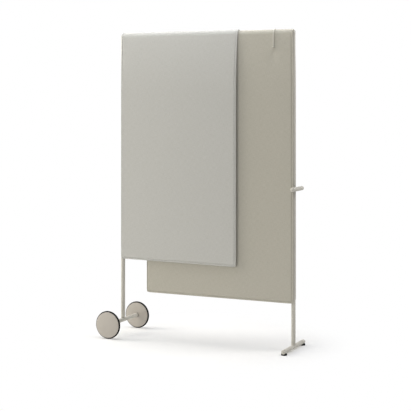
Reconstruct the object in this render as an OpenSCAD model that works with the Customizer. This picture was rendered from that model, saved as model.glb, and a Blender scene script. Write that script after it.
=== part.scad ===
// Rolling partition: a tube frame on two wheels and one foot, with two padded covers hung over its
// top rail. X runs along the screen, Y away from its front, Z up. The origin is on the floor, under
// the middle of the whole object.

/* [Frame] */
// Distance between the axes of the two uprights
upright_spacing = 1013; // [760:1:1400]
// Height of the top rail's axis above the floor
rail_height = 1645; // [1450:1:1900]
// Height of the hidden cross rail's axis above the floor
cross_rail_height = 500; // [470:1:700]
// Outer diameter of the frame tube
tube_d = 22; // [20:0.5:25]
// Wall of all tubes
tube_wall = 1.5; // [1.2:0.1:1.8]
// Play between a coped or mitred tube end and the tube that it sits on
cope_gap = 0.1; // [0.05:0.05:0.3]
// Play of a pressed or pushed-in piece in its hole
push_gap = 0.05; // [0.02:0.01:0.1]

/* [Tube caps] */
// Thickness of a cap's flange
cap_flange = 2; // [1.5:0.5:3]
// Depth of a cap's plug inside its tube
cap_depth = 8; // [6:1:12]
// Crown of the domed caps on the handle and the foot
cap_dome = 4; // [1:0.5:8]

/* [Hidden screws] */
// Diameter of the joint screws
screw_d = 6; // [5:0.5:6]
// Length of the joint screws under the head
screw_l = 20; // [18:1:24]
// Diameter of a joint screw's head
head_d = 10; // [9:0.5:10]
// Height of a joint screw's head
head_h = 6; // [4:0.5:6]
// Width across flats of the hexagon socket
socket_af = 5; // [4:0.5:5]
// Play of a screw in a plain hole, on the radius
screw_gap = 0.2; // [0.1:0.05:0.4]
// Thinnest part of a saddle washer
washer_t = 1; // [0.8:0.1:1.5]
// How far a saddle washer reaches past the screw head
washer_rim = 0.6; // [0.4:0.1:0.8]
// Play of a saddle washer in the access hole, on the radius
access_gap = 0.4; // [0.2:0.1:0.6]
// Length of a threaded insert
insert_l = 25; // [20:1:40]
// Length of each leg of a corner connector, from the corner
connector_l = 50; // [40:1:80]
// Diameter of the grub screws that hold the corner connectors
grub_d = 5; // [4:0.5:6]
// Length of a grub screw
grub_l = 8; // [6:0.5:9]
// Distance of a grub screw from its corner
grub_at = 32; // [26:1:34]

/* [Wheels] */
// Diameter of a wheel over its tyre
wheel_d = 150; // [130:1:200]
// Distance between the middle planes of the two wheels
wheel_track = 327; // [260:1:420]
// Thickness of a wheel over its two covers
wheel_w = 17.5; // [17:0.5:22]
// Thickness of a wheel cover
wheel_cover_t = 2; // [1.5:0.5:2]
// How far the tyre stands out past the covers
tyre_proud = 6; // [4:0.5:6]
// Diameter of the tyre's round section
tyre_section_d = 12; // [11:0.5:12]
// Wall of the ring that clips a wheel cover into the rim
spigot_t = 2; // [1.5:0.5:3]
// Depth of that ring
spigot_l = 3; // [2:0.5:4]
// Wall of the wheel core's rim inside the tyre groove
rim_wall = 5; // [4:0.5:8]
// Thickness of the wheel core's web
web_t = 4; // [3:0.5:6]
// Diameter of the wheel core's hub
hub_d = 36; // [32:1:44]
// Outer diameter of the axle tube
axle_d = 22; // [17.5:0.5:22]
// Diameter of the journal that a wheel turns on
journal_d = 12; // [10:0.5:12.5]
// Wall of the flanged bush
bush_wall = 3; // [2:0.5:3]
// Running clearance of the bush on its journal, on the radius
running_gap = 0.05; // [0.02:0.01:0.1]
// Sideways play between a wheel and what keeps it on its journal
side_play = 0.3; // [0.2:0.1:0.5]
// Thickness of the retaining washer
retainer_t = 1.2; // [1:0.1:1.5]
// Diameter of the retaining washer
retainer_d = 20; // [18:1:24]
// Height of the retaining screw's low head
low_head_h = 2.8; // [2:0.2:3]
// Length of the retaining screw's shank
retainer_screw_l = 16; // [12:1:20]
// Length of a stub axle inside the axle tube
stub_l = 40; // [30:1:60]

/* [Foot] */
// Length of the foot tube without its caps' crowns
foot_l = 288; // [240:1:360]
// Diameter of a foot pad
pad_d = 30; // [28:1:40]
// Height of a foot pad
pad_h = 8; // [7:0.5:12]
// How far the foot tube sinks into its pads
pad_saddle = 2; // [1.5:0.5:3]
// Distance from the end of the foot tube in to a pad's rim; below 0 the pad reaches under the cap
pad_inset = -3; // [-4:1:20]
// Diameter of a pad screw
pad_screw_d = 4; // [3:0.5:4]
// Diameter of a pad screw's head
pad_head_d = 8; // [7:0.5:8]
// Height of a pad screw's head
pad_head_h = 2; // [1.5:0.25:2]
// How far a pad screw's head lies above the floor
pad_screw_recess = 1.5; // [1:0.25:2]

/* [Handle] */
// Height of the handle's axis above the floor
handle_height = 835; // [760:1:1000]
// Length of the handle tube
handle_l = 135; // [110:1:200]
// How deep the handle's saddle seat is cut
handle_seat = 1.1; // [0.5:0.1:1.3]
// Length of the solid insert inside the handle
handle_insert_l = 40; // [30:1:60]

/* [Covers] */
// Thickness of a cover where it hangs
cover_t = 16; // [12:0.5:22]
// Thickness of the rear cover where it is stretched over the rail
rear_fold_t = 8.7; // [6:0.1:12]
// Thickness of the front cover where it is stretched over the rail
front_fold_t = 5.8; // [4:0.1:12]
// Clearance of a soft cover to what it lies on
soft_gap = 0.3; // [0.3:0.1:1]
// Gap between the frame tubes and the hanging part of the rear cover
rear_hang_gap = 3.5; // [1:0.5:6]
// Gap between the hanging parts of the two covers
cover_hang_gap = 1; // [1:0.5:8]
// Drop over which a cover opens from its tight fold to its hanging thickness
flare_drop = 280; // [150:10:500]
// How soon a cover opens over that drop: 1 is evenly, more is sooner
opening_power = 1.8; // [1:0.1:3]
// How much taller than a half circle a cover's outer arch over the rail is
arch_crown = 10; // [0:1:14]
// Radius of a cover's soft edges
edge_r = 6; // [3:0.5:8]
// Width of the rear cover
rear_cover_w = 850; // [500:0.5:900]
// How far the rear cover's right edge lies past the right upright's axis
rear_cover_past = 3; // [-60:0.5:4]
// Height of the rear cover's hem above the floor
rear_hem_z = 244; // [180:1:450]
// Width of the front cover
front_cover_w = 703.5; // [400:0.5:720]
// Distance from the left upright's axis to the front cover's left edge
front_cover_in = 3.5; // [-8:0.5:60]
// How far the front cover's left edge draws in from the rail to where it hangs
front_cover_draw = 9; // [0:0.5:20]
// Height of the front cover's hem above the floor at its left end
front_hem_z = 421; // [250:1:460]
// How much lower the front cover's hem hangs at its right end
front_hem_tilt = 5; // [0:0.5:20]

/* [Hook] */
// Distance from the hook to the right upright's axis
hook_in = 101; // [80:1:130]
// Width of the hook's strap
strap_w = 6; // [5:0.5:12]
// Thickness of the hook's strap
strap_t = 2.5; // [2:0.5:4]
// How far the strap hangs down in front of the rail's axis
strap_front_drop = 78; // [60:1:120]
// How far the strap hangs down behind the rail's axis
strap_back_drop = 50; // [30:1:120]
// Diameter of the hook's peg
peg_d = 8; // [7:0.5:10]
// How far the peg stands out in front of its strap
peg_l = 12; // [8:1:30]
// Diameter of the peg's tenon in the strap
tenon_d = 4; // [3:0.5:5]
// Distance from the peg's axis to the strap's lower end
peg_up = 6; // [5:0.5:10]

/* [Hidden] */
$fn = 64;

paint = [0.69, 0.67, 0.63];
plastic = [0.71, 0.69, 0.65];
rubber = [0.13, 0.13, 0.12];
steel = [0.62, 0.62, 0.63];
beige_textile = [0.66, 0.64, 0.59];
grey_textile = [0.72, 0.71, 0.69];

// A cutter reaches this far past what it cuts
over = 1;

tube_r = tube_d / 2;
bore_r = tube_r - tube_wall;
axle_r = axle_d / 2;
axle_bore_r = axle_r - tube_wall;
screw_r = screw_d / 2;
head_r = head_d / 2;
washer_r = head_r + washer_rim;
access_r = washer_r + access_gap;

wheel_r = wheel_d / 2;
handle_out = 2 * tube_r - handle_seat;
handle_reach = handle_out + tube_r;
overall_l = wheel_r + upright_spacing + handle_reach;
left_x = wheel_r - overall_l / 2;
right_x = left_x + upright_spacing;
foot_z = pad_h - pad_saddle + tube_r;

// Wheel layout, measured outwards from a wheel's inner face
face_r = wheel_r - tyre_proud;
tyre_section_r = tyre_section_d / 2;
tyre_ring_r = wheel_r - tyre_section_r;
core_w = wheel_w - 2 * wheel_cover_t;
rim_inner_r = tyre_ring_r - tyre_section_r - rim_wall;
hub_r = hub_d / 2;
journal_r = journal_d / 2;
bush_bore_r = journal_r + running_gap;
bush_r = bush_bore_r + bush_wall;
bush_flange_r = axle_r + push_gap;
shoulder_at = side_play;
bush_flange_at = 2 * side_play;
low_head_at = wheel_w - wheel_cover_t - side_play - low_head_h;
retainer_at = low_head_at - retainer_t;
hub_end = retainer_at - side_play;
wheel_inner_y = wheel_track / 2 - wheel_w / 2;
axle_tube_half = wheel_inner_y - cap_flange;

// Radii of the covers over the rail, and their distances from the frame's plane where they hang
rear_fold_in = tube_r + soft_gap;
rear_fold_out = rear_fold_in + rear_fold_t;
rear_hang_in = tube_r + rear_hang_gap;
rear_hang_out = rear_hang_in + cover_t;
front_fold_in = rear_fold_out + soft_gap;
front_fold_out = front_fold_in + front_fold_t;
front_hang_in = rear_hang_out + cover_hang_gap;
front_hang_out = front_hang_in + cover_t;
rear_cover_right = right_x + rear_cover_past;
rear_cover_left = rear_cover_right - rear_cover_w;
front_cover_left = left_x + front_cover_in;

// Angle above the level at which a cover's arch over the rail goes over into its legs
arch_end = 11;

// Steps of a cover's shape: around the fold, down the flare, and round a soft edge
fold_steps = 12;
flare_steps = 6;
edge_steps = 3;

hook_x = right_x - hook_in;

// Joints with a screw hidden inside a tube: place, turn that points it at the piece it holds,
// and the tube's bore and outer radius. The tube lies along the joint's own X.
to_right = [0, 90, 0];
to_left = [0, -90, 0];
to_top = [0, 0, 90];
LEFT_CROSS_JOINT = [[left_x, 0, cross_rail_height], to_right, bore_r, tube_r];
RIGHT_CROSS_JOINT = [[right_x, 0, cross_rail_height], to_left, bore_r, tube_r];
CROSS_JOINTS = [LEFT_CROSS_JOINT, RIGHT_CROSS_JOINT];
HANDLE_JOINT = [[right_x, 0, handle_height], to_right, bore_r, tube_r];
AXLE_JOINT = [[left_x, 0, wheel_r], to_top, axle_bore_r, axle_r];
FOOT_JOINT = [[right_x, 0, foot_z], to_top, bore_r, tube_r];

function washer_seat(joint) = sqrt(pow(joint[2], 2) - pow(washer_r, 2)) - washer_t;
function mix(a, b, share) = a + (b - a) * share;

module at_joint(joint) {
    translate(joint[0]) rotate(joint[1]) children();
}

// Solid rod and hollow tube along Z, from one height to another
module rod(r, from, to) {
    translate([0, 0, from]) cylinder(r = r, h = to - from);
}

module pipe(r, bore, from, to) {
    difference() {
        rod(r, from, to);
        rod(bore, from - over, to + over);
    }
}

// The same along X and along Y
module along_x() {
    rotate([0, 90, 0]) children();
}

module along_y() {
    rotate([-90, 0, 0]) children();
}

// Holes that a hidden screw needs in the tube that holds its head
module joint_holes(joint) {
    at_joint(joint) {
        rod(screw_r + screw_gap, 0, joint[3] + over);
        rod(access_r, -joint[3] - over, 0);
    }
}

module joint_screw(joint) {
    seat = washer_seat(joint);
    at_joint(joint) difference() {
        union() {
            rod(head_r, seat - head_h, seat);
            rod(screw_r, seat - over, seat + screw_l);
        }
        translate([0, 0, seat - head_h - over])
            cylinder(r = socket_af / sqrt(3), h = head_h / 2 + over, $fn = 6);
    }
}

module joint_washer(joint) {
    seat = washer_seat(joint);
    at_joint(joint) difference() {
        intersection() {
            rod(washer_r, seat, joint[3]);
            along_x() rod(joint[2] - push_gap, -tube_d, tube_d);
        }
        rod(screw_r + screw_gap, 0, joint[3] + over);
    }
}

// Curved plug that closes the access hole flush with the tube
module joint_plug(joint) {
    at_joint(joint) intersection() {
        rod(access_r - push_gap, -joint[3], 0);
        along_x() pipe(joint[3], joint[2], -tube_d, tube_d);
    }
}

// Threaded plug in the end of the tube that the screw holds
module joint_insert(joint) {
    at_joint(joint) difference() {
        rod(bore_r - push_gap, 0, joint[3] + insert_l);
        along_x() rod(joint[3] + cope_gap, -tube_d, tube_d);
        rod(screw_r + push_gap, 0, joint[3] + insert_l + over);
    }
}

// Cap whose flange starts at height 0 and whose plug goes down inside a tube
module tube_cap() {
    rod(tube_r, 0, cap_flange);
    rod(bore_r - push_gap, -cap_depth, cap_flange / 2);
}

module domed_cap() {
    sphere_r = (pow(tube_r, 2) + pow(cap_dome, 2)) / (2 * cap_dome);
    tube_cap();
    translate([0, 0, cap_flange]) rotate_extrude() intersection() {
        translate([0, cap_dome - sphere_r]) circle(r = sphere_r, $fn = 360);
        square([tube_r, cap_dome]);
    }
}

// The two top corners: 1 is on the right, -1 on the left
module at_corner(side) {
    translate([side > 0 ? right_x : left_x, 0, rail_height]) mirror([side > 0 ? 0 : 1, 0, 0]) children();
}

// Blocks that a right-hand mitre cuts away: above it for the upright, below it for the rail
module above_mitre() {
    size = 4 * tube_d;
    rotate([0, 45, 0]) translate([-size, -size / 2, -size / 2]) cube([size + cope_gap / 2, size, size]);
}

module below_mitre() {
    size = 4 * tube_d;
    rotate([0, 45, 0]) translate([-cope_gap / 2, -size / 2, -size / 2]) cube([size, size, size]);
}

module grub_holes(side) {
    at_corner(side) {
        translate([-grub_at, 0, -tube_r - over]) cylinder(r = grub_d / 2 + push_gap, h = grub_l + over);
        translate([-tube_r - over, 0, -grub_at]) along_x() rod(grub_d / 2 + push_gap, 0, grub_l + over);
    }
}

module left_upright() {
    color(paint) difference() {
        translate([left_x, 0, 0]) pipe(tube_r, bore_r, wheel_r, rail_height + tube_r);
        translate([left_x, 0, wheel_r]) along_y() rod(axle_r + cope_gap, -tube_d, tube_d);
        at_corner(-1) above_mitre();
        grub_holes(-1);
        joint_holes(LEFT_CROSS_JOINT);
    }
}

module right_upright() {
    color(paint) difference() {
        translate([right_x, 0, 0]) pipe(tube_r, bore_r, foot_z, rail_height + tube_r);
        translate([right_x, 0, foot_z]) along_y() rod(tube_r + cope_gap, -tube_d, tube_d);
        at_corner(1) above_mitre();
        grub_holes(1);
        joint_holes(RIGHT_CROSS_JOINT);
        joint_holes(HANDLE_JOINT);
    }
}

module top_rail() {
    color(paint) difference() {
        translate([0, 0, rail_height]) along_x() pipe(tube_r, bore_r, left_x - tube_r, right_x + tube_r);
        for (side = [-1, 1]) {
            at_corner(side) below_mitre();
            grub_holes(side);
        }
    }
}

// Rail between the uprights, coped to sit against both
module cross_rail() {
    color(paint) difference() {
        translate([0, 0, cross_rail_height]) along_x() pipe(tube_r, bore_r, left_x, right_x);
        for (x = [left_x, right_x])
            translate([x, 0, cross_rail_height]) rod(tube_r + cope_gap, -tube_d, tube_d);
    }
}

// Elbow inside a mitred corner, with a leg in the rail and a leg in the upright
module corner_connector(side) {
    r = bore_r - push_gap;
    difference() {
        at_corner(side) {
            rod(r, -connector_l, 0);
            along_x() rod(r, -connector_l, 0);
            sphere(r = r);
        }
        grub_holes(side);
    }
}

module left_corner_connector() {
    color(plastic) corner_connector(-1);
}

module right_corner_connector() {
    color(plastic) corner_connector(1);
}

module grub_screw() {
    difference() {
        cylinder(r = grub_d / 2, h = grub_l);
        translate([0, 0, -over]) cylinder(r = grub_d / 4, h = grub_l / 2 + over, $fn = 6);
    }
}

module corner_grub_screws() {
    color(steel) for (side = [-1, 1]) at_corner(side) {
        translate([-grub_at, 0, -tube_r]) grub_screw();
        translate([-tube_r, 0, -grub_at]) along_x() grub_screw();
    }
}

module cross_rail_inserts() {
    color(plastic) for (joint = CROSS_JOINTS) joint_insert(joint);
}

module cross_rail_screws() {
    color(steel) for (joint = CROSS_JOINTS) joint_screw(joint);
}

module cross_rail_saddle_washers() {
    color(steel) for (joint = CROSS_JOINTS) joint_washer(joint);
}

module cross_rail_hole_plugs() {
    color(paint) for (joint = CROSS_JOINTS) joint_plug(joint);
}

module axle_tube() {
    color(paint) difference() {
        translate([left_x, 0, wheel_r])
            along_y() pipe(axle_r, axle_bore_r, -axle_tube_half, axle_tube_half);
        joint_holes(AXLE_JOINT);
    }
}

module left_upright_insert() {
    color(plastic) joint_insert(AXLE_JOINT);
}

module axle_screw() {
    color(steel) joint_screw(AXLE_JOINT);
}

module axle_saddle_washer() {
    color(steel) joint_washer(AXLE_JOINT);
}

module axle_hole_plug() {
    color(paint) joint_plug(AXLE_JOINT);
}

// Moves a wheel's parts, drawn outwards along +Z from its inner face, to the front or the rear wheel
module at_wheel(side) {
    translate([left_x, side * wheel_inner_y, wheel_r]) rotate([-90 * side, 0, 0]) children();
}

FRONT = -1;
REAR = 1;

// Turned stub: pressed into the axle tube, with a shoulder and the journal that a wheel turns on
module stub_axle(side) {
    at_wheel(side) difference() {
        union() {
            rod(axle_bore_r - push_gap, -cap_flange - stub_l, -cap_flange);
            rod(axle_r, -cap_flange, shoulder_at);
            rod(journal_r, shoulder_at, retainer_at);
        }
        rod(screw_r + push_gap, retainer_at - retainer_screw_l - over, retainer_at + over);
    }
}

module front_stub_axle() {
    color(steel) stub_axle(FRONT);
}

module rear_stub_axle() {
    color(steel) stub_axle(REAR);
}

module retaining_washer(side) {
    at_wheel(side) pipe(retainer_d / 2, screw_r + screw_gap, retainer_at, low_head_at);
}

module front_wheel_washer() {
    color(steel) retaining_washer(FRONT);
}

module rear_wheel_washer() {
    color(steel) retaining_washer(REAR);
}

module retaining_screw(side) {
    at_wheel(side) difference() {
        union() {
            rod(screw_r, low_head_at - retainer_screw_l, low_head_at);
            rod(head_r, low_head_at, low_head_at + low_head_h);
        }
        translate([0, 0, low_head_at + low_head_h / 3])
            cylinder(r = socket_af / sqrt(3), h = low_head_h, $fn = 6);
    }
}

module front_wheel_screw() {
    color(steel) retaining_screw(FRONT);
}

module rear_wheel_screw() {
    color(steel) retaining_screw(REAR);
}

// Moulded core: hub, web, and a rim grooved for the tyre
module wheel_core(side) {
    middle = wheel_w / 2;
    at_wheel(side) difference() {
        rod(tyre_ring_r, wheel_cover_t, wheel_w - wheel_cover_t);
        rod(bush_r + push_gap, 0, wheel_w);
        rod(hub_r, hub_end, wheel_w);
        for (z = [middle - web_t / 2 - wheel_w, middle + web_t / 2])
            pipe_cut(rim_inner_r, hub_r, z, z + wheel_w);
        translate([0, 0, middle]) rotate_extrude()
            translate([tyre_ring_r, 0]) circle(r = tyre_section_r + push_gap);
    }
}

// Ring-shaped cutter between two radii
module pipe_cut(r, bore, from, to) {
    difference() {
        rod(r, from, to);
        rod(bore, from - over, to + over);
    }
}

module front_wheel_core() {
    color(plastic) wheel_core(FRONT);
}

module rear_wheel_core() {
    color(plastic) wheel_core(REAR);
}

module wheel_tyre(side) {
    at_wheel(side) translate([0, 0, wheel_w / 2]) rotate_extrude()
        translate([tyre_ring_r, 0]) circle(r = tyre_section_r);
}

module front_wheel_tyre() {
    color(rubber) wheel_tyre(FRONT);
}

module rear_wheel_tyre() {
    color(rubber) wheel_tyre(REAR);
}

// Plain disc with a ring on its inner side that clips into the rim
module wheel_outer_cover(side) {
    inside = wheel_w - wheel_cover_t;
    at_wheel(side) {
        rod(face_r, inside, wheel_w);
        pipe(rim_inner_r - push_gap, rim_inner_r - push_gap - spigot_t, inside - spigot_l, inside);
    }
}

module front_wheel_outer_cover() {
    color(plastic) wheel_outer_cover(FRONT);
}

module rear_wheel_outer_cover() {
    color(plastic) wheel_outer_cover(REAR);
}

// The same disc with a hole that the stub's shoulder and the bush's flange turn in
module wheel_inner_cover(side) {
    at_wheel(side) {
        pipe(face_r, bush_flange_r + access_gap, 0, wheel_cover_t);
        pipe(rim_inner_r - push_gap, rim_inner_r - push_gap - spigot_t,
            wheel_cover_t, wheel_cover_t + spigot_l);
    }
}

module front_wheel_inner_cover() {
    color(plastic) wheel_inner_cover(FRONT);
}

module rear_wheel_inner_cover() {
    color(plastic) wheel_inner_cover(REAR);
}

module wheel_bush(side) {
    at_wheel(side) difference() {
        union() {
            rod(bush_flange_r, bush_flange_at, wheel_cover_t);
            rod(bush_r, wheel_cover_t, hub_end);
        }
        rod(bush_bore_r, -over, wheel_w);
    }
}

module front_wheel_bush() {
    color(plastic) wheel_bush(FRONT);
}

module rear_wheel_bush() {
    color(plastic) wheel_bush(REAR);
}

module foot_tube() {
    color(paint) difference() {
        translate([right_x, 0, foot_z]) along_y() pipe(tube_r, bore_r, -foot_l / 2, foot_l / 2);
        joint_holes(FOOT_JOINT);
        for (side = [FRONT, REAR]) at_pad(side) rod(pad_screw_d / 2 + push_gap, 0, foot_z);
    }
}

module front_foot_cap() {
    color(paint) translate([right_x, -foot_l / 2, foot_z]) rotate([90, 0, 0]) domed_cap();
}

module rear_foot_cap() {
    color(paint) translate([right_x, foot_l / 2, foot_z]) rotate([-90, 0, 0]) domed_cap();
}

module at_pad(side) {
    translate([right_x, side * (foot_l / 2 - pad_inset - pad_d / 2), 0]) children();
}

// Round pad with a saddle for the tube and a recess for its screw
module foot_pad(side) {
    difference() {
        at_pad(side) rod(pad_d / 2, 0, pad_h);
        translate([right_x, 0, foot_z]) along_y() rod(tube_r + push_gap, -foot_l, foot_l);
        at_pad(side) rod(pad_screw_d / 2 + push_gap, -over, pad_h);
        at_pad(side) rod(pad_head_d / 2 + push_gap, -over, pad_screw_recess + pad_head_h);
    }
}

module front_foot_pad() {
    color(rubber) foot_pad(FRONT);
}

module rear_foot_pad() {
    color(rubber) foot_pad(REAR);
}

module foot_pad_screws() {
    head_top = pad_screw_recess + pad_head_h;
    color(steel) for (side = [FRONT, REAR]) at_pad(side) difference() {
        union() {
            rod(pad_head_d / 2, pad_screw_recess, head_top);
            rod(pad_screw_d / 2, head_top, pad_h - pad_saddle + 3 * tube_wall);
        }
        translate([0, 0, pad_screw_recess - over])
            cylinder(r = pad_screw_d / 3, h = pad_head_h / 2 + over, $fn = 6);
    }
}

module right_upright_insert() {
    color(plastic) joint_insert(FOOT_JOINT);
}

module foot_screw() {
    color(steel) joint_screw(FOOT_JOINT);
}

module foot_saddle_washer() {
    color(steel) joint_washer(FOOT_JOINT);
}

module foot_hole_plug() {
    color(paint) joint_plug(FOOT_JOINT);
}

module at_handle() {
    translate([right_x + handle_out, 0, handle_height]) along_y() children();
}

// Screw hole through the handle's near wall and its insert
module handle_screw_hole(gap) {
    at_joint(HANDLE_JOINT) rod(screw_r + gap, 0, handle_out);
}

module handle_tube() {
    color(paint) difference() {
        at_handle() pipe(tube_r, bore_r, -handle_l / 2, handle_l / 2);
        translate([right_x, 0, handle_height]) rod(tube_r + cope_gap, -tube_d, tube_d);
        handle_screw_hole(screw_gap);
    }
}

module front_handle_cap() {
    color(paint) at_handle() mirror([0, 0, 1]) translate([0, 0, handle_l / 2]) domed_cap();
}

module rear_handle_cap() {
    color(paint) at_handle() translate([0, 0, handle_l / 2]) domed_cap();
}

module handle_insert() {
    color(plastic) difference() {
        at_handle() rod(bore_r - push_gap, -handle_insert_l / 2, handle_insert_l / 2);
        at_joint(HANDLE_JOINT) rod(screw_r + push_gap, 0, washer_seat(HANDLE_JOINT) + screw_l + over);
    }
}

module handle_screw() {
    color(steel) joint_screw(HANDLE_JOINT);
}

module handle_saddle_washer() {
    color(steel) joint_washer(HANDLE_JOINT);
}

module handle_hole_plug() {
    color(paint) joint_plug(HANDLE_JOINT);
}

// Rows of a cover's profile from the front hem over the rail to the back hem:
// side of the frame's plane, angle round the fold, drop below the rail, and nearness to the hem
function leg_rows(side, drop) = [
    for (i = [0:edge_steps])
        let (angle = 90 * i / edge_steps) [side, 0, drop - edge_r * (1 - cos(angle)), 1 - sin(angle)],
    for (i = [flare_steps:-1:1]) [side, 0, flare_drop * pow(i / flare_steps, 1.5), 0]
];
function reversed(rows) = [for (i = [len(rows) - 1:-1:0]) rows[i]];
function cover_rows(drop) = concat(
    leg_rows(-1, drop),
    [for (i = [0:fold_steps]) [0, 180 - arch_end - (180 - 2 * arch_end) * i / fold_steps, 0, 0]],
    reversed(leg_rows(1, drop))
);

// Point of a row at a distance from the frame's plane or from the rail's axis. The crown stretches
// an arch downwards, and leaves its top where it is.
function row_point(row, reach, crown) =
    row[0] == 0
        ? [reach * cos(row[1]), reach * sin(row[1]) - crown * (1 - sin(row[1]))]
        : [row[0] * reach, -row[2]];

// Drop at which a leg starts, and how far a cover has opened at a drop: 0 there, 1 where it hangs
function leg_top(fold_out) = arch_crown - (fold_out + arch_crown) * sin(arch_end);
function opened(drop, fold_out) =
    let (below = (drop - leg_top(fold_out)) / (flare_drop - leg_top(fold_out)))
    1 - pow(1 - min(1, max(0, below)), opening_power);
function leg_outer(drop, fold_out, hang_out) =
    mix(fold_out * cos(arch_end), hang_out, opened(drop, fold_out));

// One ring of points across the cover: its outer face, then its inner face backwards.
// The ring draws in sideways as the cover opens.
function cover_ring(x, rows, fold, hang, edge, draw) =
    let (
        face = [for (row = rows)
            let (
                open = row[0] == 0 ? 0 : opened(row[2], fold[1]),
                inner = mix(fold[0], hang[0], open),
                outer = row[0] == 0 ? fold[1] : leg_outer(row[2], fold[1], hang[1]),
                soft = min(edge_r, 0.4 * (outer - inner)) * min(1, edge + row[3])
            ) [x + draw * open, row_point(row, outer - soft, arch_crown), row_point(row, inner + soft, 0)]
        ]
    )
    [
        for (trio = face) [trio[0], trio[1][0], trio[1][1]],
        for (i = [len(face) - 1:-1:0]) [face[i][0], face[i][2][0], face[i][2][1]]
    ];

// A cover folded over the rail, with soft edges all round. Its hem may hang lower at the right,
// and its left edge may draw in below the rail.
module cover(left, width, hem_z, tilt, draw, fold, hang) {
    steps = [for (i = [0:edge_steps]) 90 * i / edge_steps];
    places = concat(
        [for (a = steps) [edge_r * (1 - cos(a)), 1 - sin(a), draw]],
        [for (a = reversed(steps)) [width - edge_r * (1 - cos(a)), 1 - sin(a), 0]]
    );
    rings = [
        for (place = places)
            cover_ring(left + place[0], cover_rows(rail_height - hem_z + tilt * place[0] / width),
                fold, hang, place[1], place[2])
    ];
    n = len(rings[0]);
    last = (len(rings) - 1) * n;
    sides = [
        for (r = [0:len(rings) - 2], i = [0:n - 1])
            let (a = r * n + i, b = r * n + (i + 1) % n)
            each [[a, b, b + n], [a, b + n, a + n]]
    ];
    ends = [
        for (i = [0:n / 2 - 2])
            let (a = i, b = i + 1, c = n - 2 - i, d = n - 1 - i)
            each [[a, c, b], [a, d, c], [last + a, last + b, last + c], [last + a, last + c, last + d]]
    ];
    translate([0, 0, rail_height])
        polyhedron(points = [for (ring = rings) each ring], faces = concat(sides, ends));
}

module rear_cover() {
    color(beige_textile) cover(rear_cover_left, rear_cover_w, rear_hem_z, 0, 0,
        [rear_fold_in, rear_fold_out], [rear_hang_in, rear_hang_out]);
}

module front_cover() {
    color(grey_textile) cover(front_cover_left, front_cover_w, front_hem_z,
        front_hem_tilt, front_cover_draw, [front_fold_in, front_fold_out], [front_hang_in, front_hang_out]);
}

// The strap's bend clears the rear cover at the strap's lowest point, and rests on it on top
strap_in = leg_outer(strap_front_drop, rear_fold_out, rear_hang_out) + soft_gap;
strap_out = strap_in + strap_t;
bend_down = strap_in - rear_fold_out - soft_gap;

// Moves a profile drawn in the frame's cross-section, Y across and Z up, to the hook
module at_hook(width) {
    translate([hook_x - width / 2, 0, rail_height]) rotate([90, 0, 90])
        linear_extrude(height = width) children();
}

module hook_strap() {
    color(paint) difference() {
        at_hook(strap_w) difference() {
            union() {
                translate([0, -bend_down]) circle(r = strap_out);
                translate([-strap_out, -strap_front_drop])
                    square([strap_out, strap_front_drop - bend_down]);
                translate([0, -strap_back_drop]) square([strap_out, strap_back_drop - bend_down]);
            }
            translate([0, -bend_down]) circle(r = strap_in);
            translate([-strap_in, -strap_front_drop - over])
                square([2 * strap_in, strap_front_drop + over - bend_down]);
        }
        at_peg() rod(tenon_d / 2 + push_gap, -strap_t - over, over);
    }
}

// Peg axis, pointing forwards from the strap's front face
module at_peg() {
    translate([hook_x, -strap_out, rail_height - strap_front_drop + peg_up]) rotate([90, 0, 0]) children();
}

module hook_peg() {
    color(paint) at_peg() {
        rod(tenon_d / 2, -strap_t, 0);
        rod(peg_d / 2, 0, peg_l - peg_d / 4);
        translate([0, 0, peg_l - peg_d / 4]) cylinder(r1 = peg_d / 2, r2 = peg_d / 4, h = peg_d / 4);
    }
}

left_upright();
right_upright();
top_rail();
cross_rail();
left_corner_connector();
right_corner_connector();
corner_grub_screws();
cross_rail_inserts();
cross_rail_screws();
cross_rail_saddle_washers();
cross_rail_hole_plugs();
axle_tube();
left_upright_insert();
axle_screw();
axle_saddle_washer();
axle_hole_plug();
front_stub_axle();
rear_stub_axle();
front_wheel_washer();
rear_wheel_washer();
front_wheel_screw();
rear_wheel_screw();
front_wheel_core();
front_wheel_tyre();
front_wheel_outer_cover();
front_wheel_inner_cover();
front_wheel_bush();
rear_wheel_core();
rear_wheel_tyre();
rear_wheel_outer_cover();
rear_wheel_inner_cover();
rear_wheel_bush();
foot_tube();
front_foot_cap();
rear_foot_cap();
front_foot_pad();
rear_foot_pad();
foot_pad_screws();
right_upright_insert();
foot_screw();
foot_saddle_washer();
foot_hole_plug();
handle_tube();
front_handle_cap();
rear_handle_cap();
handle_insert();
handle_screw();
handle_saddle_washer();
handle_hole_plug();
rear_cover();
front_cover();
hook_strap();
hook_peg();
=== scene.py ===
import math

import bpy
import numpy as np
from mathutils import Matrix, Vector


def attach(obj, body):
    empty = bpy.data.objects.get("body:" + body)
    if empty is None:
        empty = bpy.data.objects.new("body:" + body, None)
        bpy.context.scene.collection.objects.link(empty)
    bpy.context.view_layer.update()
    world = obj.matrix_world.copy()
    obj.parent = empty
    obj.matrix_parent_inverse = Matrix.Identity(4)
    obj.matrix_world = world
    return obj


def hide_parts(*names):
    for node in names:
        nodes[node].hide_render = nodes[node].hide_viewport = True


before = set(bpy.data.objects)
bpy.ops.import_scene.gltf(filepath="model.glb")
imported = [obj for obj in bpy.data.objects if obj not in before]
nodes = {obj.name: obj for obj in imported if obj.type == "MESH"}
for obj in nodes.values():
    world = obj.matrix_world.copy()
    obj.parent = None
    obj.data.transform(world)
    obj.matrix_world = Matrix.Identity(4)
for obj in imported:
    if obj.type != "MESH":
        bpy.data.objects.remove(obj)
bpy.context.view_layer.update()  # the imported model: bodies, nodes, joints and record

print("frame loaded,", len(nodes), "nodes")


# Camera

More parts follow.
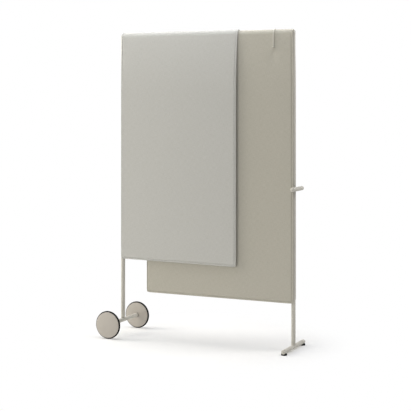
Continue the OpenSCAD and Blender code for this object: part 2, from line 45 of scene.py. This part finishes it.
camera = {
    "place": (2.61757, -5.44006, 1.28155),  # metres; in front of the screen, to its right
    "tilt": 90.2937,  # degrees up from straight down
    "turn": 25.1121,  # degrees round the vertical
    "lens": 98.1376,  # mm, on a sensor 36 mm wide
    "shift": (-0.018343, -0.263955),
}

cameraData = bpy.data.cameras.new("camera")
cameraData.sensor_width = 36
cameraData.lens = camera["lens"]
cameraData.shift_x, cameraData.shift_y = camera["shift"]
cameraObject = bpy.data.objects.new("camera", cameraData)
cameraObject.location = camera["place"]
cameraObject.rotation_euler = (math.radians(camera["tilt"]), 0, math.radians(camera["turn"]))
bpy.context.scene.collection.objects.link(cameraObject)
bpy.context.scene.camera = cameraObject
print("camera placed")


# Materials

def hexColour(text):  # sRGB hex to linear
    channels = [int(text[i:i + 2], 16) / 255 for i in (1, 3, 5)]
    return [c / 12.92 if c <= 0.04045 else ((c + 0.055) / 1.055) ** 2.4 for c in channels] + [1.0]


def addNode(owner, kind, settings=None, values=None, links=None):  # owner is a material or the world
    node = owner.node_tree.nodes.new("ShaderNode" + kind)
    for key, value in (settings or {}).items():
        setattr(node, key, value)
    for key, value in (values or {}).items():
        node.inputs[key].default_value = value
    for key, socket in (links or {}).items():
        owner.node_tree.links.new(socket, node.inputs[key])
    return node


def newMaterial(name, values):  # a Principled material with its uniform values on the shader's own sockets
    material = bpy.data.materials.new(name)
    material.use_nodes = True
    shader = material.node_tree.nodes["Principled BSDF"]
    for key, value in values.items():
        shader.inputs[key].default_value = value
    return material, shader


def connect(material, socket, target):
    material.node_tree.links.new(socket, target)


def grained(name, colour, deeper, values, grainMm, depthMm, patchMm, roughness):
    # Solid coloured surface: fine grain as bump, slow patches of colour and gloss
    material, shader = newMaterial(name, values)
    where = addNode(material, "TexCoord").outputs["Object"]
    grain = addNode(material, "TexNoise", values={"Scale": 1000 / grainMm, "Detail": 2.0, "Roughness": 0.5},
                    links={"Vector": where})
    patch = addNode(material, "TexNoise", values={"Scale": 1000 / patchMm, "Detail": 3.0, "Roughness": 0.6},
                    links={"Vector": where})
    blend = addNode(material, "Mix", {"data_type": "RGBA"}, {6: hexColour(colour), 7: hexColour(deeper)},
                    {0: patch.outputs["Fac"]})
    gloss = addNode(material, "MapRange", values={"To Min": roughness[0], "To Max": roughness[1]},
                    links={"Value": patch.outputs["Fac"]})
    bump = addNode(material, "Bump", values={"Strength": 1.0, "Distance": depthMm / 1000},
                   links={"Height": grain.outputs["Fac"]})
    connect(material, blend.outputs[2], shader.inputs["Base Color"])
    connect(material, gloss.outputs["Result"], shader.inputs["Roughness"])
    connect(material, bump.outputs["Normal"], shader.inputs["Normal"])
    return material


# Steel tube with a satin powder coat: the coat levels out to a fine orange peel, about 1.2 mm across
powderCoat = grained("powderCoatedSteel", "#C8C6BC", "#BFBBB2", {"Specular IOR Level": 0.22},
                     grainMm=1.2, depthMm=0.02, patchMm=60, roughness=(0.6, 0.7))

# Wheel covers and cores: moulded polypropylene with a fine spark-eroded skin, about 0.7 mm grains
mouldedPlastic = grained("mouldedPolypropylene", "#BBB4AB", "#B2ACA3", {"IOR": 1.49},
                         grainMm=0.7, depthMm=0.015, patchMm=45, roughness=(0.5, 0.6))

# Glass-filled nylon of connectors, inserts and bushes: dull, with a short fibrous grain
mouldedNylon = grained("mouldedNylon", "#45443F", "#3C3B37", {"IOR": 1.53},
                       grainMm=0.5, depthMm=0.02, patchMm=20, roughness=(0.5, 0.65))

# Tyre: extruded solid rubber cord, matte and dusty
tyreRubber = grained("extrudedRubber", "#0A0A09", "#0F0E0E", {"IOR": 1.52, "Specular IOR Level": 0.10},
                     grainMm=0.8, depthMm=0.03, patchMm=25, roughness=(0.65, 0.8))

# Foot pads: moulded rubber, a little smoother than the tyres
padRubber = grained("mouldedRubber", "#0E0D0C", "#131211", {"IOR": 1.52, "Specular IOR Level": 0.12},
                    grainMm=0.6, depthMm=0.02, patchMm=18, roughness=(0.6, 0.75))

# Screws, washers and stub axles: zinc-plated steel, its crystals soft and about 2 mm across
zincSteel = grained("zincPlatedSteel", "#B9BABC", "#A6A8AB", {"Metallic": 1.0},
                    grainMm=2.0, depthMm=0.004, patchMm=8, roughness=(0.28, 0.42))

woolWeave = {
    "threadMm": 1.4,  # from thread to thread, as in heavy wool upholstery cloth
    "wander": 0.6,  # how unevenly the threads run
    "fuzz": 2600.0,  # loose fibre ends to a metre
    "fuzzHeight": 0.5,  # against the height of a thread
    "streaks": 0.9,  # streaks of melange yarn to a thread
    "streakWidth": 0.08,  # against the length of a streak
    "melange": (0.35, 0.65),  # part of the noise over which one yarn colour gives way to the other
    "reliefMm": 0.22,
    "reliefShare": 0.7,
}


def wovenWool(name, colour, deeper, sheen):
    # Wool upholstery cloth, plain weave: matte, melange yarns, a soft sheen at grazing angles.
    # The pattern follows the piece's own UV map, which is in metres along and across the cloth.
    material, shader = newMaterial(name, {"Roughness": 0.92, "Specular IOR Level": 0.18, "Sheen Weight": 0.22,
                                          "Sheen Roughness": 0.45, "Sheen Tint": hexColour(sheen)})
    cloth = addNode(material, "UVMap", {"uv_map": "cloth"}).outputs["UV"]
    threads = 1000 / woolWeave["threadMm"]  # to a metre
    waveScale = threads * math.pi / 20  # a Wave texture's bands repeat every pi / (10 * scale)
    wave = {"Scale": waveScale, "Distortion": woolWeave["wander"], "Detail": 1.0, "Detail Scale": 2.0}
    warp, weft = [
        addNode(material, "TexWave", {"bands_direction": way}, wave, {"Vector": cloth}).outputs["Fac"]
        for way in ("X", "Y")]
    over = addNode(material, "TexChecker", values={"Scale": threads}, links={"Vector": cloth})
    weave = addNode(material, "Mix", {"data_type": "FLOAT"}, links={0: over.outputs["Fac"], 2: warp, 3: weft})
    fuzz = addNode(material, "TexNoise", values={"Scale": woolWeave["fuzz"], "Detail": 2.0},
                   links={"Vector": cloth})
    height = addNode(material, "Math", {"operation": "MULTIPLY_ADD"}, {1: woolWeave["fuzzHeight"]},
                     {0: fuzz.outputs["Fac"], 2: weave.outputs[0]})
    streaks = []
    for squeeze in ((1.0, woolWeave["streakWidth"], 1.0), (woolWeave["streakWidth"], 1.0, 1.0)):
        yarn = addNode(material, "Mapping", values={"Scale": squeeze}, links={"Vector": cloth})
        streak = addNode(material, "TexNoise",
                         values={"Scale": threads * woolWeave["streaks"], "Detail": 2.0},
                         links={"Vector": yarn.outputs["Vector"]})
        streaks.append(streak.outputs["Fac"])
    melange = addNode(material, "Mix", {"data_type": "FLOAT"}, {0: 0.5}, {2: streaks[0], 3: streaks[1]})
    share = addNode(material, "MapRange",
                    values={"From Min": woolWeave["melange"][0], "From Max": woolWeave["melange"][1]},
                    links={"Value": melange.outputs[0]})
    blend = addNode(material, "Mix", {"data_type": "RGBA"}, {6: hexColour(colour), 7: hexColour(deeper)},
                    {0: share.outputs["Result"]})
    bump = addNode(material, "Bump", values={"Strength": woolWeave["reliefShare"],
                                             "Distance": woolWeave["reliefMm"] / 1000},
                   links={"Height": height.outputs["Value"]})
    connect(material, blend.outputs[2], shader.inputs["Base Color"])
    connect(material, bump.outputs["Normal"], shader.inputs["Normal"])
    return material


beigeWool = wovenWool("beigeWool", "#BEBAAF", "#B1ADA0", "#D8D2C6")
greyWool = wovenWool("greyWool", "#C4C3BF", "#B8B7B1", "#E2E0DB")

# Twisted polyester sewing thread: a slight shine and a twist every 0.6 mm
beigeThread = grained("beigeSewingThread", "#C5C1B5", "#B7B5A8", {"Sheen Weight": 0.2},
                      grainMm=0.6, depthMm=0.05, patchMm=30, roughness=(0.55, 0.7))
greyThread = grained("greySewingThread", "#D0D0CC", "#C4C4C1", {"Sheen Weight": 0.2},
                     grainMm=0.6, depthMm=0.05, patchMm=30, roughness=(0.55, 0.7))

# Which finish a carried-over node takes: the first word found in its name decides
finishes = [
    ("screw", zincSteel), ("washer", zincSteel), ("stub_axle", zincSteel),
    ("insert", mouldedNylon), ("connector", mouldedNylon), ("bush", mouldedNylon),
    ("tyre", tyreRubber), ("pad", padRubber),
    ("wheel_core", mouldedPlastic),
    ("wheel_outer_cover", mouldedPlastic), ("wheel_inner_cover", mouldedPlastic),
    ("rear_cover", beigeWool), ("front_cover", greyWool),
]


def finishOf(nodeName):
    return next((material for word, material in finishes if word in nodeName), powderCoat)


for nodeName, nodeObject in nodes.items():
    nodeObject.data.materials.clear()
    nodeObject.data.materials.append(finishOf(nodeName))
print("materials made")


# Tools for the pieces

def deselect():
    if bpy.context.object and bpy.context.object.mode != "OBJECT":
        bpy.ops.object.mode_set(mode="OBJECT")
    bpy.ops.object.select_all(action="DESELECT")


def finishPiece(piece, name, material, body, replaced, smoothAngle):
    piece.name = name
    piece.data.name = name
    piece.data.materials.clear()
    piece.data.materials.append(material)
    deselect()
    piece.select_set(True)
    bpy.context.view_layer.objects.active = piece
    bpy.ops.object.shade_smooth_by_angle(angle=math.radians(smoothAngle))
    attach(piece, body)
    if replaced:
        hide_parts(*replaced)
    return piece


# Padded covers: each is a long cloth-faced pad folded over the rail

coverShape = {  # in metres where the name doesn't end in Mm
    "railZ": 1.645,
    "flareDrop": 0.280,  # this far below the rail the cover has opened from its tight fold to full padding
    "openPower": 1.8,  # how soon it opens
    "archSag": 0.010,  # the arch of the outer face over the rail is this much taller than a half circle
    "archEnd": math.radians(11),  # angle at which the arch goes over into the leg
    "rollMm": 3.8,  # from the edge to the crest of the roll that binds it
    "rollThickMm": 7.8,
    "crestMm": 4.4,  # the roll is level up to here
    "seamMm": 7.8,  # the seam that holds the roll lies this far in from the edge
    "seamDipMm": 2.6,  # how far the seam pulls the outer face in
    "shoulderMm": 12.4,  # behind the seam the outer face is level again from here in
    "shoulderThickMm": 10.0,
    "fullMm": 45.0,  # from here in the padding has its full thickness
    "rollMost": 0.92,  # where the padding is thin, the roll has at most this share of its thickness,
    "shoulderMost": 0.95,  # the shoulder this one,
    "dipMost": 0.2,  # and the seam's dip this one
    "seamLeft": 0.68,  # share of the roll's thickness that is left at the seam
    "cornerMm": 24.0,
    "cornerRound": 0.45,  # 0 leaves the corner square, 1 makes it a quarter circle
    "creaseFade": (0.05, 0.08),  # over which a crease fades out at its top and its bottom
    # Long soft waves of the hanging cloth: share of the depth, radians to a metre across and down, and
    # radians by which front and back differ from the middle
    "waves": [(0.5, 9.0, 2.1, 1.0), (0.3, 21.0, -5.3, 2.0), (0.25, 4.0, 17.0, 0.7)],
    "waveDepth": 0.0004,
    "calmMm": 60,  # the waves start at the edges and are at their full depth from here in
    "weld": 0.00002,  # the two faces meet within this at the edges
}

# Distances in from an edge at which the mesh has lines, mm: close together over the roll and the seam
edgeLinesMm = [0, 0.15, 0.6, 1.4, 2.5, 3.8, 4.4, 5.2, 5.9, 6.6, 7.2, 7.8, 8.4, 9.2, 10.6, 12.4, 15.4, 20.0,
               27.0, 35.0, 45.0]
innerLines = {"across": 0.014, "down": 0.012, "archSteps": 18}  # metres between the others; steps over rail
farFromHem = 1.0  # metres; stands for any place that the hem's roll doesn't reach
tiny = 1e-9  # keeps a division from zero and a comparison from rounding

rearCoverSize = {  # metres
    "left": -0.32045,
    "width": 0.8518,
    "hem": 0.244,  # height above the floor
    "tilt": 0.0,  # how much lower the hem is at its right end
    "draw": 0.0,  # how far the left edge is drawn in where the cover hangs
    "askew": 0.008,  # how far the front layer's right edge leans out where it hangs
    "fold": (0.0113, 0.0200),  # from the rail's middle to the inner and the outer face, over the rail
    "hang": (0.0145, 0.0305),  # the same where the cover hangs
    "length": 2.856,  # of the cloth from hem to hem
    "creases": [],
    # Where the hook's tip presses: distance across, drop, depth, reach sideways, up and down
    "dents": [(0.7455, 0.104, 0.0030, 0.020, 0.011, 0.050)],
}

frontCoverSize = {
    "left": -0.48145,
    "width": 0.7035,
    "hem": 0.421,
    "tilt": 0.005,
    "draw": 0.009,
    "askew": 0.0,
    "fold": (0.0203, 0.0261),
    "hang": (0.0315, 0.0475),
    "length": 2.53,
    # Soft vertical crease near the left end: distance across, top and bottom drop, depth, half width
    "creases": [(0.128, 0.060, 0.260, 0.0011, 0.010)],
    "dents": [],
}


def smoothStep(share):
    share = np.clip(share, 0, 1)
    return share * share * (3 - 2 * share)


def padding(inMm, thickMm):
    # Thickness at a distance in from the edge, and how far the outer face dips there, in mm.
    # The roll lies level with the outer face, and the padding comes in behind it.
    shape = coverShape
    roll = np.minimum(shape["rollThickMm"], shape["rollMost"] * thickMm)
    shoulder = np.minimum(shape["shoulderThickMm"], shape["shoulderMost"] * thickMm)
    seam = shape["seamLeft"] * roll
    seamDip = np.minimum(shape["seamDipMm"], shape["dipMost"] * thickMm)
    arc = np.sqrt(np.clip(1 - (1 - np.clip(inMm / shape["rollMm"], 0, 1)) ** 2, 0, 1))
    toSeam = smoothStep((inMm - shape["crestMm"]) / (shape["seamMm"] - shape["crestMm"]))
    toShoulder = smoothStep((inMm - shape["seamMm"]) / (shape["shoulderMm"] - shape["seamMm"]))
    toFull = smoothStep((inMm - shape["shoulderMm"]) / (shape["fullMm"] - shape["shoulderMm"]))
    thick = roll * arc + (seam - roll) * toSeam + (shoulder - seam) * toShoulder
    thick = thick + (thickMm - shoulder) * toFull
    dip = roll / 2 * (1 - arc) + seamDip * (toSeam - toShoulder)
    return thick, dip


def coverLines(size):
    # Across: distances from the left edge. Rows, from the front hem to the back hem: side (-1 front, 0 over
    # the rail, 1 back), share of the leg's height, distance up from the hem, angle round the rail
    edge = [mm / 1000 for mm in edgeLinesMm]
    inner = size["width"] - 2 * edge[-1]
    count = round(inner / innerLines["across"])
    across = edge + [edge[-1] + inner * i / count for i in range(1, count)]
    across += [size["width"] - inwards for inwards in reversed(edge)]
    count = round((coverShape["railZ"] - size["hem"]) / innerLines["down"])
    leg = [(0.0, up) for up in edge] + [(i / count, 0.0) for i in range(1, count)]
    archEnd = coverShape["archEnd"]
    steps = innerLines["archSteps"]
    rows = [(-1, share, up, 0.0) for share, up in leg]
    rows += [(0, 1.0, 0.0, math.pi - archEnd - (math.pi - 2 * archEnd) * i / steps) for i in range(steps + 1)]
    rows += [(1, share, up, 0.0) for share, up in reversed(leg)]
    return np.array(across), np.array(rows)


def cornerShift(sideIn, hemIn):
    # How far the square of a corner is drawn in towards a quarter circle, sideways and up
    corner = coverShape["cornerMm"] / 1000
    fromSide = np.clip(1 - sideIn / corner, 0, 1)
    fromHem = np.clip(1 - hemIn / corner, 0, 1)
    far = np.maximum(fromSide, fromHem)
    ratio = np.where(far > 0, far / np.maximum(np.hypot(fromSide, fromHem), tiny), 1.0)
    ratio = 1 + (ratio - 1) * coverShape["cornerRound"] * far ** 2
    return fromSide * (1 - ratio) * corner, fromHem * (1 - ratio) * corner


def softWaves(across, drop, side):
    wave = sum(height * np.sin(across * rateAcross + drop * rateDown + side * shift)
               for height, rateAcross, rateDown, shift in coverShape["waves"])
    return np.abs(wave) * coverShape["waveDepth"]


def pressedIn(size, across, drop):
    # Depth of the cover's creases and dents
    depth = np.zeros(len(drop))
    for middle, top, bottom, deep, halfWidth in size["creases"]:
        fadeTop, fadeBottom = coverShape["creaseFade"]
        along = smoothStep((drop - top) / fadeTop) * smoothStep((bottom - drop) / fadeBottom)
        depth += deep * along * np.exp(-((across - middle) / halfWidth) ** 2)
    for middle, low, deep, reachAside, reachUp, reachDown in size["dents"]:
        down = drop - low
        reachAlong = np.where(down < 0, reachUp, reachDown)
        depth += deep * np.exp(-((across - middle) / reachAside) ** 2 - (down / reachAlong) ** 2)
    return depth


def coverPoint(size, across, side, share, up, angle, face, lift=0.0):
    # Places of points of the cover, from arrays: distance across, what a row of coverLines holds, and
    # face, which is 1 outside, -1 inside and 0 in the middle of the padding
    shape = coverShape
    width = size["width"]
    sideIn = np.minimum(across, width - across)
    hemIn = np.where((side == 0) | (share > 0), farFromHem, up)
    shiftAcross, shiftUp = cornerShift(sideIn, hemIn)
    drawn = np.where(across < width / 2, across + shiftAcross, across - shiftAcross)

    # Drop below the rail
    fullDrop = shape["railZ"] - size["hem"] + size["tilt"] * drawn / width
    edgeTop = fullDrop - edgeLinesMm[-1] / 1000
    legTop = shape["archSag"] - (size["fold"][1] + shape["archSag"]) * math.sin(shape["archEnd"])
    legDrop = np.where(share > 0, legTop + (edgeTop - legTop) * (1 - share), fullDrop - up - shiftUp)
    drop = np.where(side == 0, 0.0, legDrop)

    # Distance from the rail's middle
    opened = 1 - (1 - np.clip((drop - legTop) / (shape["flareDrop"] - legTop), 0, 1)) ** shape["openPower"]
    outerTop = np.where(side == 0, size["fold"][1], size["fold"][1] * math.cos(shape["archEnd"]))
    inner = size["fold"][0] + (size["hang"][0] - size["fold"][0]) * opened
    outer = outerTop + (size["hang"][1] - outerTop) * opened
    inMm = np.minimum(sideIn, hemIn) * 1000
    thick, dip = padding(inMm, (outer - inner) * 1000)
    reach = outer - (dip + thick * (1 - face) / 2) / 1000 + face * lift
    reach = reach - softWaves(across, drop, side) * (smoothStep(inMm / shape["calmMm"]) * opened)
    reach = reach - np.where((side < 0) & (face > 0), 1, 0) * pressedIn(size, across, drop)

    x = size["left"] + drawn + size["draw"] * (1 - drawn / width) * opened
    x = x + np.where(side < 0, size["askew"], 0.0) * drawn / width * opened
    y = np.where(side == 0, reach * np.cos(angle), side * reach)
    sag = shape["archSag"] * (1 + face) / 2 * (1 - np.sin(angle))
    z = shape["railZ"] + np.where(side == 0, reach * np.sin(angle) - sag, -drop)
    return np.stack([x, y, z], axis=-1)


def lengthsAlong(line):  # from the line's first point to each of its points
    return np.concatenate([[0], np.cumsum(np.linalg.norm(np.diff(line, axis=0), axis=1))])


def clothFace(size, across, rows, along, face):
    # One face of a cover: a grid, with a column for each line across and a row for each row
    columnSteps = len(across) - 1
    rowSteps = len(rows) - 1
    gridSize = 2
    bpy.ops.mesh.primitive_grid_add(x_subdivisions=columnSteps, y_subdivisions=rowSteps, size=gridSize,
                                    location=(0, 0, 0))
    sheet = bpy.context.object
    flat = np.zeros(len(sheet.data.vertices) * 3)
    sheet.data.vertices.foreach_get("co", flat)
    share = flat.reshape(-1, 3) / gridSize + 0.5
    column = np.rint(share[:, 0] * columnSteps).astype(int)
    row = np.rint(share[:, 1] * rowSteps).astype(int)
    place = coverPoint(size, across[column], *rows[row].T, np.full(len(row), face))
    sheet.data.vertices.foreach_set("co", place.ravel())
    layer = sheet.data.uv_layers.active or sheet.data.uv_layers.new()
    layer.name = "cloth"
    corner = np.zeros(len(sheet.data.loops), int)
    sheet.data.loops.foreach_get("vertex_index", corner)
    layer.data.foreach_set("uv", np.stack([across[column], along[row]], axis=-1)[corner].ravel())
    return sheet


def makeCover(name, size, node, material):
    across, rows = coverLines(size)
    middle = coverPoint(size, np.full(len(rows), size["width"] / 2), *rows.T, np.zeros(len(rows)))
    along = lengthsAlong(middle)
    deselect()
    outside = clothFace(size, across, rows, along, 1)
    inside = clothFace(size, across, rows, along, -1)
    deselect()
    inside.select_set(True)
    outside.select_set(True)
    bpy.context.view_layer.objects.active = outside
    bpy.ops.object.join()
    cover = bpy.context.object
    bpy.ops.object.mode_set(mode="EDIT")
    bpy.ops.mesh.select_all(action="SELECT")
    bpy.ops.mesh.remove_doubles(threshold=coverShape["weld"])
    bpy.ops.mesh.normals_make_consistent(inside=False)
    bpy.ops.object.mode_set(mode="OBJECT")
    print(name, len(cover.data.vertices), "vertices, cloth length", round(float(along[-1]), 4))
    return finishPiece(cover, name, material, node, [node], smoothAngle=60)


stitch = {  # metres
    "length": 0.0040,
    "pitch": 0.0056,
    "thick": 0.00075,
    "lift": 0.00025,  # of its middle, above the cloth
    "look": 0.001,  # how far ahead and below the seam is looked at, to lay a stitch along it
    "least": 0.000001,  # the seam's points that are closer than this are one
}


def stitchForm():
    # One stitch is modelled, a slim bead along Z: its points and faces. The faces are sorted, because
    # the sphere comes with them in another order each time
    deselect()
    bpy.ops.mesh.primitive_uv_sphere_add(segments=6, ring_count=5, radius=0.5, location=(0, 0, 0))
    model = bpy.context.object
    bpy.ops.object.mode_set(mode="EDIT")
    bpy.ops.mesh.select_all(action="SELECT")
    bead = (stitch["thick"], stitch["thick"], stitch["length"])
    bpy.ops.transform.resize(value=bead, center_override=(0, 0, 0))
    bpy.ops.object.mode_set(mode="OBJECT")
    form = np.array([vertex.co for vertex in model.data.vertices])
    formFaces = sorted(list(polygon.vertices) for polygon in model.data.polygons)
    bpy.data.objects.remove(model)
    return form, formFaces


def seamPath(size):
    # Distance across and row of each of the seam's points: up the left edge of the front and down the back,
    # along the back hem, back over the rail at the right edge, and along the front hem
    across, rows = coverLines(size)
    seam = coverShape["seamMm"] / 1000
    upAndOver = [row for row in rows if row[0] == 0 or row[1] > 0 or row[2] >= seam - tiny]
    alongHem = [place for place in across if seam < place < size["width"] - seam]
    path = [(seam, *row) for row in upAndOver]
    path += [(place, *upAndOver[-1]) for place in alongHem]
    path += [(size["width"] - seam, *row) for row in reversed(upAndOver)]
    path += [(place, *upAndOver[0]) for place in reversed(alongHem)]
    path.append(path[0])
    return np.array(path)


def stitchPoints(size, path, face, form):
    # Points of all stitches on one face: each is a copy of the form, laid along the seam
    faces = np.full(len(path), face)
    line = coverPoint(size, *path.T, faces, stitch["lift"])
    below = coverPoint(size, *path.T, faces, stitch["lift"] - stitch["look"])
    keep = np.concatenate([[True], np.linalg.norm(np.diff(line, axis=0), axis=1) > stitch["least"]])
    line = line[keep]
    below = below[keep]
    at = lengthsAlong(line)
    count = int(at[-1] / stitch["pitch"])
    want = (np.arange(count) + 0.5) * at[-1] / count
    here, ahead, under = [
        np.stack([np.interp(places, at, points[:, axis]) for axis in range(3)], axis=-1)
        for places, points in ((want, line), (want + stitch["look"], line), (want, below))]
    way = ahead - here
    way /= np.linalg.norm(way, axis=1)[:, None]
    out = here - under
    out -= (out * way).sum(1)[:, None] * way
    out /= np.linalg.norm(out, axis=1)[:, None]
    aside = np.cross(way, out)
    points = here[:, None] + aside[:, None] * form[None, :, 0:1] + out[:, None] * form[None, :, 1:2]
    points = points + way[:, None] * form[None, :, 2:3]
    return points.reshape(-1, 3)


def makeStitches(name, size, body, material):
    form, formFaces = stitchForm()
    path = seamPath(size)
    places = np.concatenate([stitchPoints(size, path, face, form) for face in (1, -1)])
    count = len(places) // len(form)
    faces = [[vertex + i * len(form) for vertex in formFace] for i in range(count) for formFace in formFaces]
    mesh = bpy.data.meshes.new(name)
    mesh.from_pydata(places.tolist(), [], faces)
    piece = bpy.data.objects.new(name, mesh)
    bpy.context.scene.collection.objects.link(piece)
    print(name, count, "stitches")
    return finishPiece(piece, name, material, body, [], smoothAngle=80)


rearCover = makeCover("rearCover", rearCoverSize, "rear_cover", beigeWool)
rearStitches = makeStitches("rearCoverStitches", rearCoverSize, "rear_cover", beigeThread)
frontCover = makeCover("frontCover", frontCoverSize, "front_cover", greyWool)
frontStitches = makeStitches("frontCoverStitches", frontCoverSize, "front_cover", greyThread)
print("covers made")


# Rigid pieces that show: each takes its node's own shape, with its edges softened

softened = [
    # node, body, slot, rounding of its edges in mm
    ("left_upright", "frame", "frame_paint", 0.25),
    ("right_upright", "frame", "frame_paint", 0.25),
    ("top_rail", "frame", "frame_paint", 0.25),
    ("axle_tube", "frame", "frame_paint", 0.25),
    ("foot_tube", "frame", "frame_paint", 0.25),
    ("handle_tube", "frame", "frame_paint", 0.25),
    ("front_foot_cap", "frame", "frame_paint", 0.8),
    ("rear_foot_cap", "frame", "frame_paint", 0.8),
    ("front_handle_cap", "frame", "frame_paint", 0.8),
    ("rear_handle_cap", "frame", "frame_paint", 0.8),
    ("front_foot_pad", "frame", "pad_rubber", 0.8),
    ("rear_foot_pad", "frame", "pad_rubber", 0.8),
    ("cross_rail", "frame", "frame_paint", 0.25),
    ("front_stub_axle", "frame", "steel", 0.3),
    ("rear_stub_axle", "frame", "steel", 0.3),
    ("front_wheel_outer_cover", "front_wheel", "wheel_plastic", 0.5),
    ("front_wheel_inner_cover", "front_wheel", "wheel_plastic", 0.5),
    ("front_wheel_tyre", "front_wheel", "tyre", 0.4),
    ("rear_wheel_outer_cover", "rear_wheel", "wheel_plastic", 0.5),
    ("rear_wheel_inner_cover", "rear_wheel", "wheel_plastic", 0.5),
    ("rear_wheel_tyre", "rear_wheel", "tyre", 0.4),
    ("hook_strap", "hook", "frame_paint", 0.7),
    ("hook_peg", "hook", "frame_paint", 0.6),
]

edgeRounding = {
    "segments": 3,
    "sharp": math.radians(35),  # edges that turn more than this are rounded
    "level": math.radians(1),  # neighbouring faces that turn less than this become one
    "weld": 0.00001,  # metres; points that are closer than this become one
}


def softenedPiece(node, body, slot, roundingMm):
    words = node.split("_")
    name = words[0] + "".join(w.capitalize() for w in words[1:])
    piece = bpy.data.objects.new(name, nodes[node].data.copy())
    bpy.context.scene.collection.objects.link(piece)
    deselect()
    piece.select_set(True)
    bpy.context.view_layer.objects.active = piece
    bpy.ops.object.mode_set(mode="EDIT")
    bpy.ops.mesh.select_all(action="SELECT")
    bpy.ops.mesh.remove_doubles(threshold=edgeRounding["weld"])
    bpy.ops.mesh.dissolve_limited(angle_limit=edgeRounding["level"])
    bpy.ops.object.mode_set(mode="OBJECT")
    bevel = piece.modifiers.new("edges", "BEVEL")
    bevel.width = roundingMm / 1000
    bevel.segments = edgeRounding["segments"]
    bevel.limit_method = "ANGLE"
    bevel.angle_limit = edgeRounding["sharp"]
    bpy.ops.object.modifier_apply(modifier=bevel.name)
    return finishPiece(piece, name, finishOf(node), body, [node], smoothAngle=30)


for row in softened:
    softenedPiece(*row)
print("rigid pieces softened")


# Floor, world and lights

floorTone = {
    "size": 9.0,  # metres
    "paper": 0.84,  # how much light the paper throws back
    "nearShare": 0.04,  # share of painted white glow that the camera sees by the screen: it lightens the screen's shadow a little but keeps it
    "farShare": 1.0,  # the same far from it, where the painted white glow covers the lamps' shadows
    "nearAt": 0.48,  # metres from the middle of the screen at which the first share ends
    "farAt": 0.82,  # and the second starts
}
roomLevel = 0.25  # light from the white room on the object; 1 is what the camera sees
white = (1, 1, 1, 1)


def seenShare(owner):
    # 1 for what the camera sees, also in gloss and through glass, and 0 for light on the object
    path = addNode(owner, "LightPath")
    seen = path.outputs["Is Camera Ray"]
    for ray in ("Is Glossy Ray", "Is Transmission Ray"):
        either = addNode(owner, "Math", {"operation": "MAXIMUM"}, links={0: seen, 1: path.outputs[ray]})
        seen = either.outputs[0]
    return seen


deselect()
bpy.ops.mesh.primitive_plane_add(size=floorTone["size"], location=(0, 0, 0))
floor = bpy.context.object
floor.name = "floor"
floorPaper = bpy.data.materials.new("whitePaper")
floorPaper.use_nodes = True
floorPaper.node_tree.nodes.clear()
paper = addNode(floorPaper, "BsdfDiffuse", values={"Color": (floorTone["paper"],) * 3 + (1,)})
where = addNode(floorPaper, "TexCoord").outputs["Object"]
away = addNode(floorPaper, "VectorMath", {"operation": "LENGTH"}, links={0: where})
# Painted light: the camera sees an emission glow mixed into the floor. There is little of it by the screen
# and all white from farAt out, so it paints out the lamps' shadows away from the screen
paintedWhiteShare = addNode(floorPaper, "MapRange", {"interpolation_type": "SMOOTHSTEP"},
                    {"From Min": floorTone["nearAt"], "From Max": floorTone["farAt"],
                     "To Min": floorTone["nearShare"], "To Max": floorTone["farShare"]},
                    {"Value": away.outputs["Value"]})
share = addNode(floorPaper, "Math", {"operation": "MULTIPLY"},
                links={0: seenShare(floorPaper), 1: paintedWhiteShare.outputs["Result"]})
paintedGlow = addNode(floorPaper, "Emission", values={"Color": white, "Strength": 1.0})
both = addNode(floorPaper, "MixShader", links={0: share.outputs[0], 1: paper.outputs[0], 2: paintedGlow.outputs[0]})
addNode(floorPaper, "OutputMaterial", links={"Surface": both.outputs[0]})
floor.data.materials.append(floorPaper)

world = bpy.data.worlds.new("studio")
bpy.context.scene.world = world
world.use_nodes = True
world.node_tree.nodes.clear()
level = addNode(world, "MapRange", values={"To Min": roomLevel, "To Max": 1.0},
                links={"Value": seenShare(world)})
room = addNode(world, "Background", values={"Color": white}, links={"Strength": level.outputs["Result"]})
addNode(world, "OutputWorld", links={"Surface": room.outputs[0]})

lamps = [
    # name, place, aimed at, size in metres, watts, colour
    ("topLamp", (0.1, -0.1, 3.2), (0.0, 0.0, 0.0), 2.0, 38, "#F0F6FF"),
    ("leftTopLamp", (-2.6, -0.3, 3.0), (0.0, 0.0, 0.6), 1.6, 35, "#FFFEFD"),
    ("rearTopLamp", (-1.1, 0.4, 3.2), (-0.1, 0.0, 0.0), 1.2, 12, "#FFFDFA"),
    ("sideLamp", (-4.5, -0.8, 2.2), (0.0, 0.0, 0.9), 2.5, 146, "#FFFBF0"),
    ("frontLamp", (-2.5, -4.5, 1.5), (0.0, 0.0, 0.9), 2.5, 57, "#FFFBEF"),
    ("rightLamp", (2.5, 0.5, 3.4), (0.3, 0.0, 0.6), 2.0, 60, "#FFFCFB"),
]
for name, place, aim, size, watts, colour in lamps:
    lampData = bpy.data.lights.new(name, "AREA")
    lampData.shape = "SQUARE"
    lampData.size = size
    lampData.energy = watts
    lampData.color = hexColour(colour)[:3]
    lamp = bpy.data.objects.new(name, lampData)
    lamp.location = place
    lamp.rotation_euler = (Vector(aim) - Vector(place)).to_track_quat("-Z", "Y").to_euler()
    bpy.context.scene.collection.objects.link(lamp)

bpy.context.scene.view_settings.view_transform = "Standard"
print("floor, world and lamps made")
